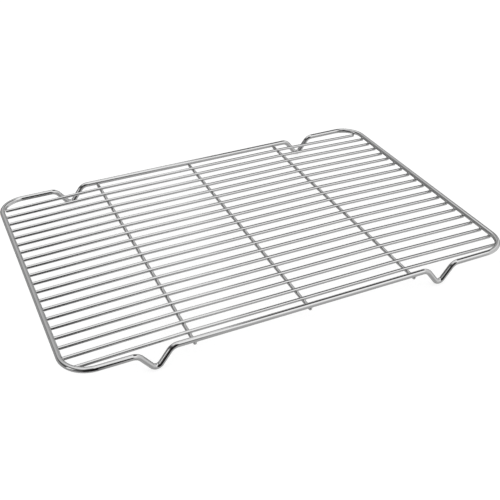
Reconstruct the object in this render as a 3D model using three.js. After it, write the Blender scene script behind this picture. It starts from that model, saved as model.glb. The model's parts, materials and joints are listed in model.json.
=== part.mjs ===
// Wire cooling rack: a bent frame rod, and a grid of wires laid over three cross wires. The ends of
// them all are welded under the frame, so the grid wires slope down to it past the outer cross wires.
// Millimetres, +Z up. X runs along the rack's long sides, Y along its short sides.
// The origin is on the surface that the rack stands on, under the rack's middle.
import * as THREE from 'three';

// Driving dimensions
const RACK_LENGTH = 400;          // along X, outside of the frame
const RACK_WIDTH = 275;           // along Y, outside of the frame
const FRAME_DIAMETER = 4.7;
const WIRE_DIAMETER = 3.0;        // of the grid wires and the cross wires

const CORNER_RADIUS = 23;         // bend at each corner, at the middle of the rod
const FOOT_SPACING = 256;         // along X, between the two feet of a long side
const FRONT_FEET_MIDDLE = -2.5;   // along X: the feet sit a little to the left of the rack's middle
const BACK_FEET_MIDDLE = -0.5;
const FOOT_DROP = 15.2;           // from the frame's level down to a foot's lowest bend
const FOOT_SLOPE = THREE.MathUtils.degToRad(53);
const FOOT_RADIUS = 4.5;          // bend at the bottom of a foot
const SHOULDER_RADIUS = 9;        // bend where the rod turns down into a foot

const GRID_COUNT = 20;
const GRID_PITCH = 13;
const CROSS_SPACING = 99;
const CROSS_INSET = 1.5;          // of a cross wire's end from the outside of the frame

// Facets. A round wire is a prism whose flats touch the true circle, with flats on top and below.
const SIDES = 12;
const CORNER_STEPS = 8;
const SHOULDER_STEPS = 3;
const FOOT_STEPS = 5;             // an odd number leaves a level flat under the foot

// Worked out from these
const FRAME_RADIUS = FRAME_DIAMETER / 2;
const WIRE_RADIUS = WIRE_DIAMETER / 2;
const HALF_SIDE = Math.PI / SIDES;
const EDGE_FACTOR = 1 / Math.cos(HALF_SIDE);    // distance of a prism's edges over that of its flats
const END_X = RACK_LENGTH / 2 - FRAME_RADIUS;   // middle of the rod in the short sides
const SIDE_Y = RACK_WIDTH / 2 - FRAME_RADIUS;   // middle of the rod in the long sides

// The level flat of a foot is a chord of its bend, so it sets how high the frame stands.
const footChord = (FOOT_RADIUS + FRAME_RADIUS) * Math.cos(FOOT_SLOPE / FOOT_STEPS);
const FRAME_LEVEL = FOOT_DROP - FOOT_RADIUS + footChord;
const FRAME_UNDERSIDE = FRAME_LEVEL - FRAME_RADIUS;

// Half the width of the level flats on top of and under the rod and the wires
const FRAME_FLAT = FRAME_RADIUS * Math.tan(HALF_SIDE);
const WIRE_FLAT = WIRE_RADIUS * Math.tan(HALF_SIDE);

function steel() {
  return new THREE.MeshStandardMaterial({ color: 0xc9cacc, roughness: 0.18, metalness: 1 });
}

// ---- Frame rod ----

function corner(x, y, z, radius, steps) {
  return { point: new THREE.Vector3(x, y, z), radius, steps };
}

// The three bends of a foot, in the order in which a rod running along the given direction meets them.
function foot(x, y, direction) {
  const tipDrop = FOOT_DROP + FOOT_RADIUS * (1 / Math.cos(FOOT_SLOPE) - 1);
  const reach = direction * tipDrop / Math.tan(FOOT_SLOPE);
  return [
    corner(x - reach, y, 0, SHOULDER_RADIUS, SHOULDER_STEPS),
    corner(x, y, -tipDrop, FOOT_RADIUS, FOOT_STEPS),
    corner(x + reach, y, 0, SHOULDER_RADIUS, SHOULDER_STEPS),
  ];
}

// One long side, from its first rack corner to its second, with its two feet.
function longSide(y, direction, feetMiddle) {
  return [
    corner(-direction * END_X, y, 0, CORNER_RADIUS, CORNER_STEPS),
    ...foot(feetMiddle - direction * FOOT_SPACING / 2, y, direction),
    ...foot(feetMiddle + direction * FOOT_SPACING / 2, y, direction),
    corner(direction * END_X, y, 0, CORNER_RADIUS, CORNER_STEPS),
  ];
}

// Points and directions along the middle of the rod where it bends around one corner.
function bend({ point, radius, steps }, before, after) {
  const incoming = point.clone().sub(before).normalize();
  const outgoing = after.clone().sub(point).normalize();
  const turn = incoming.angleTo(outgoing);
  const axis = incoming.clone().cross(outgoing).normalize();
  const inward = outgoing.clone().sub(incoming).normalize();
  const centre = point.clone().addScaledVector(inward, radius / Math.cos(turn / 2));
  return Array.from({ length: steps + 1 }, (_, step) => {
    const angle = turn * step / steps;
    const outward = inward.clone().negate().applyAxisAngle(axis, angle - turn / 2);
    return {
      point: centre.clone().addScaledVector(outward, radius),
      direction: incoming.clone().applyAxisAngle(axis, angle),
    };
  });
}

// A closed rod through its bends, with a ring of the tube at each station and straight runs between.
class RodPath extends THREE.Curve {
  constructor(corners) {
    super();
    const cornerAt = (index) => corners.at(index % corners.length).point;
    this.stations = corners.flatMap((item, i) => bend(item, cornerAt(i - 1), cornerAt(i + 1)));
  }

  getPointAt(u, target = new THREE.Vector3()) {
    const index = Math.round(u * this.stations.length) % this.stations.length;
    return target.copy(this.stations[index].point);
  }

  // Level frames keep the flats of the rod facing up, down and sideways all the way round.
  computeFrenetFrames() {
    const up = new THREE.Vector3(0, 0, 1);
    const tangents = this.stations.map(({ direction }) => direction);
    const turned = (vector, tangent) => vector.applyAxisAngle(tangent, HALF_SIDE);
    const sideways = tangents.map((tangent) => up.clone().cross(tangent).normalize());
    const normals = sideways.map((side, i) => turned(side.clone(), tangents[i]));
    const binormals = sideways.map((side, i) => turned(tangents[i].clone().cross(side), tangents[i]));
    return { tangents, normals, binormals };
  }
}

function frameRod() {
  const front = longSide(-SIDE_Y, 1, FRONT_FEET_MIDDLE);
  const back = longSide(SIDE_Y, -1, BACK_FEET_MIDDLE);
  const path = new RodPath([...front, ...back]);
  const edgeRadius = FRAME_RADIUS * EDGE_FACTOR;
  const geometry = new THREE.TubeGeometry(path, path.stations.length, edgeRadius, SIDES, true);
  const mesh = new THREE.Mesh(geometry, steel());
  mesh.name = 'frame_rod';
  mesh.position.z = FRAME_LEVEL;
  return mesh;
}

// ---- Wires ----

function straightWire(name, length, runs = 1) {
  const edgeRadius = WIRE_RADIUS * EDGE_FACTOR;
  const geometry = new THREE.CylinderGeometry(edgeRadius, edgeRadius, length, SIDES, runs, false, HALF_SIDE);
  const mesh = new THREE.Mesh(geometry, steel());
  mesh.name = name;
  return mesh;
}

// Where along X a grid wire is that far outside the middle of the frame rod. The outermost wires
// meet the rod in its rounded corners.
function gridReach(y, outward) {
  const intoCorner = Math.abs(y) + WIRE_RADIUS - (SIDE_Y - CORNER_RADIUS);
  if (intoCorner <= 0) return END_X + outward;
  const halfStep = Math.PI / 4 / CORNER_STEPS;
  const radius = (CORNER_RADIUS + outward) * Math.cos(halfStep);
  return END_X - CORNER_RADIUS + Math.sqrt(radius ** 2 - intoCorner ** 2);
}

// Makes three runs of a straight wire: one level over the cross wires, and one at each end, down to
// the frame's underside. It ends under the middle of the frame rod.
function slopeEnds(geometry, y) {
  const bendPlace = CROSS_SPACING + WIRE_FLAT;
  const end = gridReach(y, 0);
  const slope = WIRE_DIAMETER / (gridReach(y, -FRAME_FLAT) - bendPlace);
  const points = geometry.attributes.position;
  for (let i = 0; i < points.count; i++) {
    const along = points.getY(i);
    const place = Math.abs(along) > end / 2 ? end : bendPlace;
    points.setY(i, Math.sign(along) * place);
    points.setZ(i, points.getZ(i) - slope * (place - bendPlace));
  }
}

function gridWire(index) {
  const y = (index - (GRID_COUNT - 1) / 2) * GRID_PITCH;
  const number = String(index + 1).padStart(2, '0');
  const mesh = straightWire(`grid_wire_${number}`, 2 * gridReach(y, 0), 3);
  slopeEnds(mesh.geometry, y);
  mesh.rotation.z = Math.PI / 2;
  mesh.position.set(0, y, FRAME_UNDERSIDE + WIRE_RADIUS);
  return mesh;
}

function crossWire(place, x) {
  const mesh = straightWire(`cross_wire_${place}`, RACK_WIDTH - 2 * CROSS_INSET);
  mesh.position.set(x, 0, FRAME_UNDERSIDE - WIRE_RADIUS);
  return mesh;
}

const rack = new THREE.Group();
rack.add(frameRod());
for (let index = 0; index < GRID_COUNT; index++) {
  rack.add(gridWire(index));
}
rack.add(crossWire('left', -CROSS_SPACING));
rack.add(crossWire('middle', 0));
rack.add(crossWire('right', CROSS_SPACING));

export default rack;
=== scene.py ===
"""Looks of the wire cooling rack: smooth drawn wires with weld fillets, bright metal, a plain studio.

Everything is in metres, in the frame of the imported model: X along the long sides, Z up, floor at 0.
"""

import json
import math
import random
from collections import namedtuple

import bpy
import numpy as np
from mathutils import Matrix, Vector
from mathutils.kdtree import KDTree


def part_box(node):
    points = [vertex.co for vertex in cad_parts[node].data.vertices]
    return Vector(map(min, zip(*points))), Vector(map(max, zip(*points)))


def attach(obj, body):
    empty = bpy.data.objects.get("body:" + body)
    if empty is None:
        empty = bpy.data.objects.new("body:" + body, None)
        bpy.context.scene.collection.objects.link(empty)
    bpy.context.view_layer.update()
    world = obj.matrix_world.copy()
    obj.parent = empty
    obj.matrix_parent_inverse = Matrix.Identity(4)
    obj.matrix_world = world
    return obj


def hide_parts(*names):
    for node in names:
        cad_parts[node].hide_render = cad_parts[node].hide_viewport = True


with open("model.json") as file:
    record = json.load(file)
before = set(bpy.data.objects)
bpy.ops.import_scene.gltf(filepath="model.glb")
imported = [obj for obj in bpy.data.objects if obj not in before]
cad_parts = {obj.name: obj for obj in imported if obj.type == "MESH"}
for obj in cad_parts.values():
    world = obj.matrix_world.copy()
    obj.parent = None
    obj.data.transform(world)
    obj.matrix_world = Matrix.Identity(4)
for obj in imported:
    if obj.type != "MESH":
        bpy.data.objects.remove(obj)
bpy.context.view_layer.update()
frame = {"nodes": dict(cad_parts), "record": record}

# ---- Sizes ----

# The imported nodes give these.
ROD_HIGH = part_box("frame_rod")[1]
CROSS_BOXES = {place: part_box(f"cross_wire_{place}") for place in ("left", "middle", "right")}
GRID_NAMES = sorted(name for name in frame["nodes"] if name.startswith("grid_wire"))
CROSS_LOW, CROSS_HIGH = CROSS_BOXES["left"]
WIRE_RADIUS = (CROSS_HIGH.z - CROSS_LOW.z) / 2
ROD_RADIUS = (ROD_HIGH.z - CROSS_HIGH.z) / 2    # the cross wires touch the rod's underside
ROD_LEVEL = ROD_HIGH.z - ROD_RADIUS
END_X = ROD_HIGH.x - ROD_RADIUS                 # middle of the rod in the short sides
SIDE_Y = ROD_HIGH.y - ROD_RADIUS                # middle of the rod in the long sides
CROSS_PLACES = [(low.x + high.x) / 2 for low, high in CROSS_BOXES.values()]
MOUNTS = {mount["name"]: mount["pos_m"] for mount in frame["record"]["mounts"]}

# The bends of the frame rod, at its middle, as in the CAD model.
CORNER_RADIUS = 0.023
FOOT_RADIUS = 0.0045
SHOULDER_RADIUS = 0.009
FOOT_SLOPE = math.radians(53)
FOOT_DROP = ROD_LEVEL - ROD_RADIUS              # a foot's lowest point touches the floor

# Welding presses the wires a little into each other and leaves a fillet round each joint.
PRESSED = 0.0003                                # how far a wire moves towards what it is welded to
CROSSING_FILLET = 0.0010
FRAME_FILLET = 0.0012
FILLET_VARIATION = 0.25                         # share of a fillet's size
FILLET_PASSES = 4                               # steps in which points move out to a fillet
FILLET_DEPTH = 1 / 8                            # of its size: points this deep in the other wire move too
LEAST_SLOPE = 0.3                               # keeps those steps short inside a sharp notch
HEAT_AND_SHADE_REACH = 0.0040                             # how far the heat marks and the painted contact shade go from a joint
STRAY = 0.00015                                 # how far a grid wire's end strays sideways
CUT_ROUNDING = 0.0006                           # edge of a wire's cut end
BEND_SOFTNESS = 0.010                           # half the length of a grid wire's bend past a cross wire

# Mesh density
ROD_SIDES = 28
WIRE_SIDES = 20
ROD_STEP = 0.0005
FINE_STEP = 0.00035                             # along a wire, near its joints
COARSE_STEP = 0.006
FINE_REACH = 0.0042                             # to each side of a joint
PLACE_DIGITS = 6                                # rings less than a micrometre apart fall together
NEAR_ZERO = 1e-9

CHANCE = random.Random(7)                       # gives the same small differences on each run


# ---- Centrelines ----

def rounded(corners):
    """Points along a closed line through (point, bend radius) corners, with its bends rounded."""
    points = []
    for index, (corner, radius) in enumerate(corners):
        before = corners[index - 1][0]
        after = corners[(index + 1) % len(corners)][0]
        incoming = (corner - before).normalized()
        outgoing = (after - corner).normalized()
        turn = incoming.angle(outgoing)
        axis = incoming.cross(outgoing).normalized()
        start = corner - incoming * radius * math.tan(turn / 2)
        centre = start + axis.cross(incoming) * radius
        steps = math.ceil(radius * turn / (ROD_STEP / 2))
        for step in range(steps + 1):
            points.append(centre + Matrix.Rotation(turn * step / steps, 3, axis) @ (start - centre))
    return np.array(points)


def evenly_spaced(points, spacing):
    """The closed line through points, as points with about that spacing."""
    closed = np.vstack([points, points[:1]])
    along = np.concatenate([[0], np.linalg.norm(np.diff(closed, axis=0), axis=1).cumsum()])
    count = round(along[-1] / spacing)
    places = np.linspace(0, along[-1], count, endpoint=False)
    return np.stack([np.interp(places, along, closed[:, k]) for k in range(3)], axis=1)


def foot(name, direction):
    """The three bends of the foot on that mount, for a rod that runs along X in that direction."""
    x = MOUNTS[name][0]
    y = math.copysign(SIDE_Y, MOUNTS[name][1])
    tip_drop = FOOT_DROP + FOOT_RADIUS * (1 / math.cos(FOOT_SLOPE) - 1)
    reach = direction * tip_drop / math.tan(FOOT_SLOPE)
    return [
        (Vector((x - reach, y, ROD_LEVEL)), SHOULDER_RADIUS),
        (Vector((x, y, ROD_LEVEL - tip_drop)), FOOT_RADIUS),
        (Vector((x + reach, y, ROD_LEVEL)), SHOULDER_RADIUS),
    ]


def rod_centreline():
    def corner(x_side, y_side):
        return Vector((x_side * END_X, y_side * SIDE_Y, ROD_LEVEL)), CORNER_RADIUS

    corners = [
        corner(-1, -1), *foot("foot_front_left", 1), *foot("foot_front_right", 1), corner(1, -1),
        corner(1, 1), *foot("foot_back_right", -1), *foot("foot_back_left", -1), corner(-1, 1),
    ]
    return evenly_spaced(rounded(corners), ROD_STEP)


def ring_places(length, joints):
    """Distances along a straight wire for its rings: coarse, and fine round each joint and both ends."""
    places = set(np.linspace(0, length, math.ceil(length / COARSE_STEP) + 1).round(PLACE_DIGITS))
    fine = np.arange(-FINE_REACH, FINE_REACH, FINE_STEP)
    for joint in [0, *joints, length]:
        places.update((joint + fine).round(PLACE_DIGITS))
    return np.array(sorted(place for place in places if 0 <= place <= length))


# ---- Wires as solids: distance to a wire's surface, and the direction away from it ----

class Wire:
    """A round wire along a line of points."""

    def __init__(self, centres, radius, closed=False):
        self.centres = centres
        self.radius = radius
        self.closed = closed
        after = np.roll(centres, -1, axis=0) - centres
        if not closed:
            after[-1] = after[-2]
        before = np.roll(after, 1, axis=0)
        if not closed:
            before[0] = after[0]
        ahead = before + after
        self.tangents = ahead / np.linalg.norm(ahead, axis=1, keepdims=True)
        self.tree = KDTree(len(centres))
        for index, centre in enumerate(centres):
            self.tree.insert(centre, index)
        self.tree.balance()

    def distance(self, points):
        """Distance from each point to the wire's surface, and the unit direction away from it."""
        nearest = np.array([self.tree.find(point)[1] for point in points])
        offset = points - self.centres[nearest]
        tangent = self.tangents[nearest]
        along = (offset * tangent).sum(1)
        if not self.closed:
            past_end = ((nearest == 0) & (along < 0)) | ((nearest == len(self.centres) - 1) & (along > 0))
            along[past_end] = 0
        offset -= tangent * along[:, None]
        length = np.linalg.norm(offset, axis=1)
        return length - self.radius, offset / np.maximum(length, NEAR_ZERO)[:, None]


def add_fillet(points, own, other, size):
    """Moves the points of own's surface out to the smooth joint of the two wires."""
    for _ in range(FILLET_PASSES):
        here, away_here = own.distance(points)
        there, away_there = other.distance(points)
        share = np.clip(size - abs(here - there), 0, None) / size
        joined = np.minimum(here, there) - share**2 * size / 4      # distance to the joint's surface
        own_nearer = (here < there)[:, None]
        near = np.where(own_nearer, away_here, away_there)
        far = np.where(own_nearer, away_there, away_here)
        slope = near * (1 - share / 2)[:, None] + far * (share / 2)[:, None]
        slope /= np.maximum(np.linalg.norm(slope, axis=1), LEAST_SLOPE)[:, None]
        points = points - slope * joined[:, None]
    return points


# ---- Meshes ----

def tube(wire, sides, radii=None):
    """Points of a wire's rings, and the same points on the unbent wire."""
    side = np.cross((0, 0, 1), wire.tangents)
    side /= np.linalg.norm(side, axis=1, keepdims=True)
    top = np.cross(wire.tangents, side)
    angles = np.arange(sides) * 2 * math.pi / sides
    radii = np.full(len(side), wire.radius) if radii is None else radii
    across = np.cos(angles)[None, :, None] * side[:, None] + np.sin(angles)[None, :, None] * top[:, None]
    points = wire.centres[:, None] + across * radii[:, None, None]
    gaps = np.linalg.norm(np.diff(wire.centres, axis=0), axis=1)
    along = np.concatenate([[0], gaps.cumsum()])
    unbent = np.empty_like(points)
    unbent[..., 0] = np.cos(angles) * wire.radius
    unbent[..., 1] = np.sin(angles) * wire.radius
    unbent[..., 2] = along[:, None]
    return points.reshape(-1, 3), unbent.reshape(-1, 3)


def tube_faces(rings, sides, closed):
    faces = []
    for ring in range(rings if closed else rings - 1):
        here, there = ring * sides, (ring + 1) % rings * sides
        for side in range(sides):
            following = (side + 1) % sides
            faces.append((here + side, here + following, there + following, there + side))
    if not closed:
        faces.append(tuple(reversed(range(sides))))
        faces.append(tuple(range((rings - 1) * sides, rings * sides)))
    return faces


def weld(points, wire, joints):
    """Moves a wire's points to the fillet at each (other wire, fillet size) joint, and gives their
    closeness to it, which sets the heat marks and the painted contact shade.
    """
    heat = np.zeros(len(points))
    for other, size in joints:
        low = other.centres.min(0) - HEAT_AND_SHADE_REACH - other.radius
        high = other.centres.max(0) + HEAT_AND_SHADE_REACH + other.radius
        close = np.flatnonzero(((points > low) & (points < high)).all(1))
        if not len(close):
            continue
        gap, _ = other.distance(points[close])
        # Closeness to the joint: it sets the heat marks and the painted contact shade.
        heat[close] = np.maximum(heat[close], np.clip(1 - gap / HEAT_AND_SHADE_REACH, 0, 1))
        welded = close[(gap > -size * FILLET_DEPTH) & (gap < size)]
        points[welded] = add_fillet(points[welded], wire, other, size)
    return heat


def wire_piece(name, node, wire, sides, joints, radii=None, slot="wire_steel"):
    """The piece for that node: a wire's mesh, with a fillet at its joints, and heat marks there that are
    also painted contact shade.
    """
    points, unbent = tube(wire, sides, radii)
    heat = weld(points, wire, joints)
    mesh = bpy.data.meshes.new(name)
    mesh.from_pydata(points.tolist(), [], tube_faces(len(wire.centres), sides, wire.closed))
    mesh.shade_smooth()
    mesh.attributes.new("unbent", "FLOAT_VECTOR", "POINT").data.foreach_set("vector", unbent.ravel())
    mesh.attributes.new("heat", "FLOAT", "POINT").data.foreach_set("value", heat)
    piece = bpy.data.objects.new(name, mesh)
    bpy.context.scene.collection.objects.link(piece)
    piece.data.materials.append(METALS[slot])
    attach(piece, "root")
    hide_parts(node)


def straight_line(start, end, joints):
    """Points along a straight line, close together near those distances and near both ends."""
    length = np.linalg.norm(end - start)
    places = ring_places(length, joints)
    return start + (end - start) * places[:, None] / length


def soft_ramp(distance):
    """The distance past a bend, with a smooth curve through the bend, and 0 before it."""
    curved = (np.clip(distance, -BEND_SOFTNESS, BEND_SOFTNESS) + BEND_SOFTNESS)**2 / (4 * BEND_SOFTNESS)
    return curved + np.clip(distance - BEND_SOFTNESS, 0, None)


# ---- Materials ----

# Patterns on the metal, in cells per metre: twice across the wire, and along it
DRAWN_LINES = (9000, 9000, 40)
STAINS = (250, 250, 60)
PITS = (3500, 3500, 3500)
NOISE_LOW, NOISE_HIGH = 0.3, 0.7                # most of a noise lies between these

STAIN_START, STAIN_FULL = 0.35, 0.75            # of the stains' noise
STAIN_TONE = 0.93                               # share of the clean metal's tone
ROUGH_LOW, ROUGH_HIGH = 0.8, 1.25               # shares of the roughness, over the drawn lines
MARK_AND_SHADE_START, MARK_AND_SHADE_FULL = 0.3, 0.9                # of the heat, which is 1 at a joint; this mask gives the heat marks and the painted contact shade
MARK_AND_SHADE_RAGGEDNESS = 0.25                          # how far the stains shift the heat
MARK_AND_SHADE_TINT = (0.34, 0.33, 0.32)                  # shares of the clean metal's tone: dark heat tint, and painted contact shade at the joints
MARK_ROUGHNESS = 0.2                            # on top of the metal's own
LINE_HEIGHT = 0.25                              # this and the next in bump heights
PIT_HEIGHT = 2.0
BUMP_STRENGTH = 0.2
BUMP_HEIGHT = 0.00003


class Nodes:
    """Short calls for the nodes of one material or world."""

    def __init__(self, tree):
        self.tree = tree

    def add(self, kind, inputs=None, **settings):
        node = self.tree.nodes.new(kind)
        for key, value in settings.items():
            setattr(node, key, value)
        for key, value in (inputs or {}).items():
            if isinstance(value, bpy.types.NodeSocket):
                self.tree.links.new(value, node.inputs[key])
            else:
                node.inputs[key].default_value = value
        return node

    def math(self, operation, *values):
        inputs = dict(enumerate(values))
        return self.add("ShaderNodeMath", inputs, operation=operation).outputs[0]

    def blend(self, share, first, second):
        """A mix of two colours, which the node takes in its sockets 6 and 7 and gives in its socket 2."""
        inputs = {"Factor": share, 6: first, 7: second}
        return self.add("ShaderNodeMix", inputs, data_type="RGBA").outputs[2]

    def remap(self, value, low, high, to_low, to_high, smooth=False):
        inputs = dict(enumerate((value, low, high, to_low, to_high)))
        kind = "SMOOTHSTEP" if smooth else "LINEAR"
        return self.add("ShaderNodeMapRange", inputs, interpolation_type=kind).outputs[0]


def grey(level):
    return (level, level, level, 1)


def metal_patterns(nodes):
    """The metal's drawn lines, stains, pits, and heat marks with painted contact shade, each as a value
    between 0 and 1.
    """
    unbent = nodes.add("ShaderNodeAttribute", attribute_name="unbent").outputs["Vector"]
    heat = nodes.add("ShaderNodeAttribute", attribute_name="heat").outputs["Fac"]

    def noise(scale, detail):
        stretched = nodes.add("ShaderNodeVectorMath", {0: unbent, 1: scale}, operation="MULTIPLY")
        inputs = {"Vector": stretched.outputs[0], "Scale": 1.0, "Detail": detail}
        return nodes.add("ShaderNodeTexNoise", inputs).outputs["Fac"]

    drawn_lines = noise(DRAWN_LINES, detail=3)
    stains = noise(STAINS, detail=4)
    pits = noise(PITS, detail=2)
    ragged = nodes.remap(stains, NOISE_LOW, NOISE_HIGH, -MARK_AND_SHADE_RAGGEDNESS, MARK_AND_SHADE_RAGGEDNESS)
    marked_and_shaded = nodes.remap(nodes.math("ADD", heat, ragged), MARK_AND_SHADE_START, MARK_AND_SHADE_FULL, 0, 1)
    return drawn_lines, stains, pits, marked_and_shaded


def metal(name, tone, roughness):
    """Bright drawn and polished wire: fine lines along it, soft stains, and dull dark heat marks at joints,
    which are also painted contact shade.
    """
    material = bpy.data.materials.new(name)
    material.use_nodes = True
    nodes = Nodes(material.node_tree)
    shader = material.node_tree.nodes["Principled BSDF"]
    drawn_lines, stains, pits, marked_and_shaded = metal_patterns(nodes)

    stained = nodes.remap(stains, STAIN_START, STAIN_FULL, 0, 1)
    own_colour = nodes.blend(stained, grey(tone), grey(tone * STAIN_TONE))
    mark_and_shade_colour = (*(tone * share for share in MARK_AND_SHADE_TINT), 1)
    # Painted shade: near each joint the colour darkens to about a third, as heat tint and as painted
    # contact shade.
    colour = nodes.blend(marked_and_shaded, own_colour, mark_and_shade_colour)
    smoothest, roughest = roughness * ROUGH_LOW, roughness * ROUGH_HIGH
    own_roughness = nodes.remap(drawn_lines, NOISE_LOW, NOISE_HIGH, smoothest, roughest)
    dullness = nodes.math("ADD", own_roughness, nodes.math("MULTIPLY", marked_and_shaded, MARK_ROUGHNESS))
    shader.inputs["Metallic"].default_value = 1
    material.node_tree.links.new(colour, shader.inputs["Base Color"])
    material.node_tree.links.new(dullness, shader.inputs["Roughness"])

    lines = nodes.math("MULTIPLY", drawn_lines, LINE_HEIGHT)
    pitted = nodes.math("MULTIPLY", nodes.math("MULTIPLY", pits, marked_and_shaded), PIT_HEIGHT)
    height = nodes.math("ADD", lines, pitted)
    relief = {"Height": height, "Strength": BUMP_STRENGTH, "Distance": BUMP_HEIGHT}
    bump = nodes.add("ShaderNodeBump", relief)
    material.node_tree.links.new(bump.outputs[0], shader.inputs["Normal"])
    return material


METALS = {
    "frame_steel": metal("frame_steel", tone=0.78, roughness=0.09),
    "wire_steel": metal("wire_steel", tone=0.80, roughness=0.08),
}


# ---- The rack ----

def cross_wires():
    """The wires on the underside, by node name."""
    wires = {}
    for place, (low, high) in CROSS_BOXES.items():
        x = (low.x + high.x) / 2
        z = (low.z + high.z) / 2 + PRESSED
        joints = [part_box(name)[0].y + WIRE_RADIUS - low.y for name in GRID_NAMES]
        joints += [-SIDE_Y - low.y, SIDE_Y - low.y]         # under the long sides of the frame
        start, end = np.array((x, low.y, z)), np.array((x, high.y, z))
        wires[f"cross_wire_{place}"] = Wire(straight_line(start, end, joints), WIRE_RADIUS)
    return wires


def grid_wires():
    """The wires of the grid, by node name: level over the cross wires, then down to under the frame."""
    wires = {}
    for name in GRID_NAMES:
        low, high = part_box(name)
        y = (low.y + high.y) / 2
        level = high.z - WIRE_RADIUS - PRESSED
        end_level = low.z + WIRE_RADIUS + PRESSED
        start = np.array((low.x, y + CHANCE.uniform(-STRAY, STRAY), level))
        end = np.array((high.x, y + CHANCE.uniform(-STRAY, STRAY), level))
        joints = [x - low.x for x in CROSS_PLACES]
        joints += [FINE_REACH, high.x - low.x - FINE_REACH]     # fine right across the frame's joint
        centres = straight_line(start, end, joints)
        past_bend = abs(centres[:, 0]) - max(CROSS_PLACES)
        slope = (level - end_level) / (high.x - max(CROSS_PLACES))
        centres[:, 2] -= slope * soft_ramp(past_bend)
        wires[name] = Wire(centres, WIRE_RADIUS)
    return wires


def cut_ends(wire):
    """Radii of a wire's rings, with the edges of its cut ends rounded."""
    along = np.linalg.norm(wire.centres - wire.centres[0], axis=1)
    from_end = np.minimum(along, along[-1] - along)
    into_edge = np.clip(CUT_ROUNDING - from_end, 0, None)
    return wire.radius - CUT_ROUNDING + np.sqrt(CUT_ROUNDING**2 - into_edge**2)


def fillet(size):
    """A fillet of about that size."""
    return size * CHANCE.uniform(1 - FILLET_VARIATION, 1 + FILLET_VARIATION)


def build_rack():
    rod = Wire(rod_centreline(), ROD_RADIUS, closed=True)
    cross = cross_wires()
    grid = grid_wires()
    crossing = {(low, high): fillet(CROSSING_FILLET) for low in cross for high in grid}
    held = {name: fillet(FRAME_FILLET) for name in [*cross, *grid]}
    rod_joints = [(wire, held[name]) for name, wire in (cross | grid).items()]
    wire_piece("frame", "frame_rod", rod, ROD_SIDES, rod_joints, slot="frame_steel")
    for name, wire in cross.items():
        joints = [(rod, held[name])] + [(grid[other], crossing[name, other]) for other in grid]
        wire_piece(f"{name}_drawn", name, wire, WIRE_SIDES, joints, radii=cut_ends(wire))
    for name, wire in grid.items():
        joints = [(rod, held[name])] + [(cross[other], crossing[other, name]) for other in cross]
        wire_piece(f"{name}_drawn", name, wire, WIRE_SIDES, joints, radii=cut_ends(wire))


build_rack()


# ---- Studio ----

FLOOR_SIZE = 8
FLOOR_TONE = 0.30
FLOOR_GLOW = 0.78                               # keeps the floor white, with only faint shadows
FLOOR_ROUGHNESS = 0.9
FLOOR_SHINE = 0.1
CAMERA_AZIMUTH = math.radians(-114.2253)        # of the camera as seen from the aim point, from +X
CAMERA_ELEVATION = math.radians(33.8322)
CAMERA_DISTANCE = 0.70741
CAMERA_ROLL = math.radians(-0.5881)
CAMERA_AIM = Vector((-0.01088, -0.04265, ROD_LEVEL))
CAMERA_LENS = 57.77                             # this and the sensor are in millimetres
SENSOR_WIDTH = 36
CAMERA_CLIP = 0.01


def add_floor():
    bpy.ops.mesh.primitive_plane_add(size=FLOOR_SIZE)
    floor = bpy.context.object
    floor.name = "floor"
    material = bpy.data.materials.new("floor")
    material.use_nodes = True
    shader = material.node_tree.nodes["Principled BSDF"]
    shader.inputs["Base Color"].default_value = grey(FLOOR_TONE)
    shader.inputs["Emission Color"].default_value = grey(1)
    shader.inputs["Emission Strength"].default_value = FLOOR_GLOW
    shader.inputs["Roughness"].default_value = FLOOR_ROUGHNESS
    shader.inputs["Specular IOR Level"].default_value = FLOOR_SHINE
    floor.data.materials.append(material)
    floor.visible_glossy = False


def add_camera():
    level = math.cos(CAMERA_ELEVATION)
    outward = Vector((level * math.cos(CAMERA_AZIMUTH), level * math.sin(CAMERA_AZIMUTH),
                      math.sin(CAMERA_ELEVATION)))
    data = bpy.data.cameras.new("camera")
    data.lens = CAMERA_LENS
    data.sensor_width = SENSOR_WIDTH
    data.clip_start = CAMERA_CLIP
    camera = bpy.data.objects.new("camera", data)
    bpy.context.scene.collection.objects.link(camera)
    aimed = outward.to_track_quat("Z", "Y").to_matrix().to_4x4()
    camera.matrix_world = (Matrix.Translation(CAMERA_AIM + outward * CAMERA_DISTANCE)
                           @ aimed @ Matrix.Rotation(CAMERA_ROLL, 4, "Z"))
    bpy.context.scene.camera = camera


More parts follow.
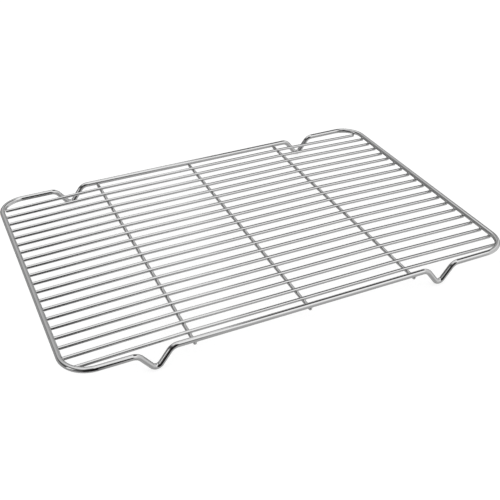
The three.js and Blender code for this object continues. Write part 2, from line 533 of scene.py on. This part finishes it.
# What the metal mirrors: patches of light and dark around the rack, each laid over those before it.
# The lean is how far a direction points along X, and the turn is its angle about X in degrees, where
# 0 is up, 90 is back, -90 is front and 180 is down. The edges are the widths of its soft edges, and
# the level is its brightness.
Patch = namedtuple("Patch", "lean_from lean_to turn_from turn_to lean_edge turn_edge level")
SURROUNDINGS = 0.66                                     # the level where there is no patch
PATCHES = [
    Patch(-2.00, -0.02, -200, 200, 0.05, 30, 0.08),     # dark left half of the room
    Patch(-0.49, 0.76, -28, 164, 0.44, 30, 0.90),       # large light overhead and behind
    Patch(-0.03, 0.60, -59, -2, 0.05, 8, 1.08),         # brighter front half of that light
    Patch(-0.05, 0.27, -186, -52, 0.16, 8, 0.00),       # dark wall in front
    Patch(-0.48, 0.62, 70, 143, 0.05, 8, 0.05),         # dark wall at the back
    Patch(0.30, 0.63, -8, 137, 0.05, 12, 0.05),         # dark gap right of the light
    Patch(0.69, 2.00, 55, 158, 0.08, 8, 0.30),          # dull back right corner
    Patch(-1.01, -0.04, 56, 109, 0.11, 58, 0.10),       # soft upper left part of the back wall
    Patch(0.12, 0.60, -217, -88, 0.09, 8, 0.44),        # floor in front, on the right
    Patch(-0.05, 0.11, -215, -36, 0.08, 16, 0.00),      # black stand in front of the middle
    Patch(0.05, 0.16, -95, -33, 0.06, 14, 0.00),        # the stand's wider upper part
    Patch(-0.30, 0.36, 42, 72, 0.10, 10, 0.54),         # grey strip over the back wall
    Patch(0.34, 0.66, 50, 84, 0.08, 12, 0.40),          # the strip's lower right end
    Patch(-0.32, -0.02, -51, -20, 0.05, 14, 0.06),      # dark edge left of the light
    Patch(-1.51, -0.86, -62, 2, 0.24, 26, 1.28),        # second light, on the far left
    Patch(-1.11, -0.39, 70, 177, 0.14, 8, 0.36),        # grey wall and floor at the back left
    Patch(-0.40, 0.60, 137, 200, 0.10, 8, 0.45),        # floor at the back
    Patch(-0.60, 0.02, -124, -45, 0.05, 10, 0.01),      # black wall at the front left
    Patch(-1.10, 0.10, -200, -130, 0.05, 14, 0.42),     # floor at the front left
]
BACKDROP = 1.0                                          # lights the floor, and shows past its edge


def add_world():
    world = bpy.data.worlds.new("studio")
    world.use_nodes = True
    bpy.context.scene.world = world
    nodes = Nodes(world.node_tree)
    direction = nodes.add("ShaderNodeTexCoord").outputs["Generated"]
    x, y, z = nodes.add("ShaderNodeSeparateXYZ", {0: direction}).outputs
    turn = nodes.math("DEGREES", nodes.math("ARCTAN2", y, z))

    def inside(value, start, stop, edge):
        """1 between start and stop and 0 outside them, with soft edges."""
        rise = nodes.remap(value, start - edge / 2, start + edge / 2, 0, 1, smooth=True)
        fall = nodes.remap(value, stop - edge / 2, stop + edge / 2, 1, 0, smooth=True)
        return nodes.math("MULTIPLY", rise, fall)

    mirrored = SURROUNDINGS
    for patch in PATCHES:
        share = nodes.math("MULTIPLY", inside(x, patch.lean_from, patch.lean_to, patch.lean_edge),
                           inside(turn, patch.turn_from, patch.turn_to, patch.turn_edge))
        change = nodes.math("SUBTRACT", patch.level, mirrored)
        mirrored = nodes.math("MULTIPLY_ADD", change, share, mirrored)
    is_glossy = nodes.add("ShaderNodeLightPath").outputs["Is Glossy Ray"]
    level = nodes.math("MULTIPLY_ADD", nodes.math("SUBTRACT", mirrored, BACKDROP), is_glossy, BACKDROP)
    background = world.node_tree.nodes["Background"]
    world.node_tree.links.new(level, background.inputs["Color"])


add_floor()
add_camera()
add_world()
bpy.context.scene.view_settings.view_transform = "Standard"
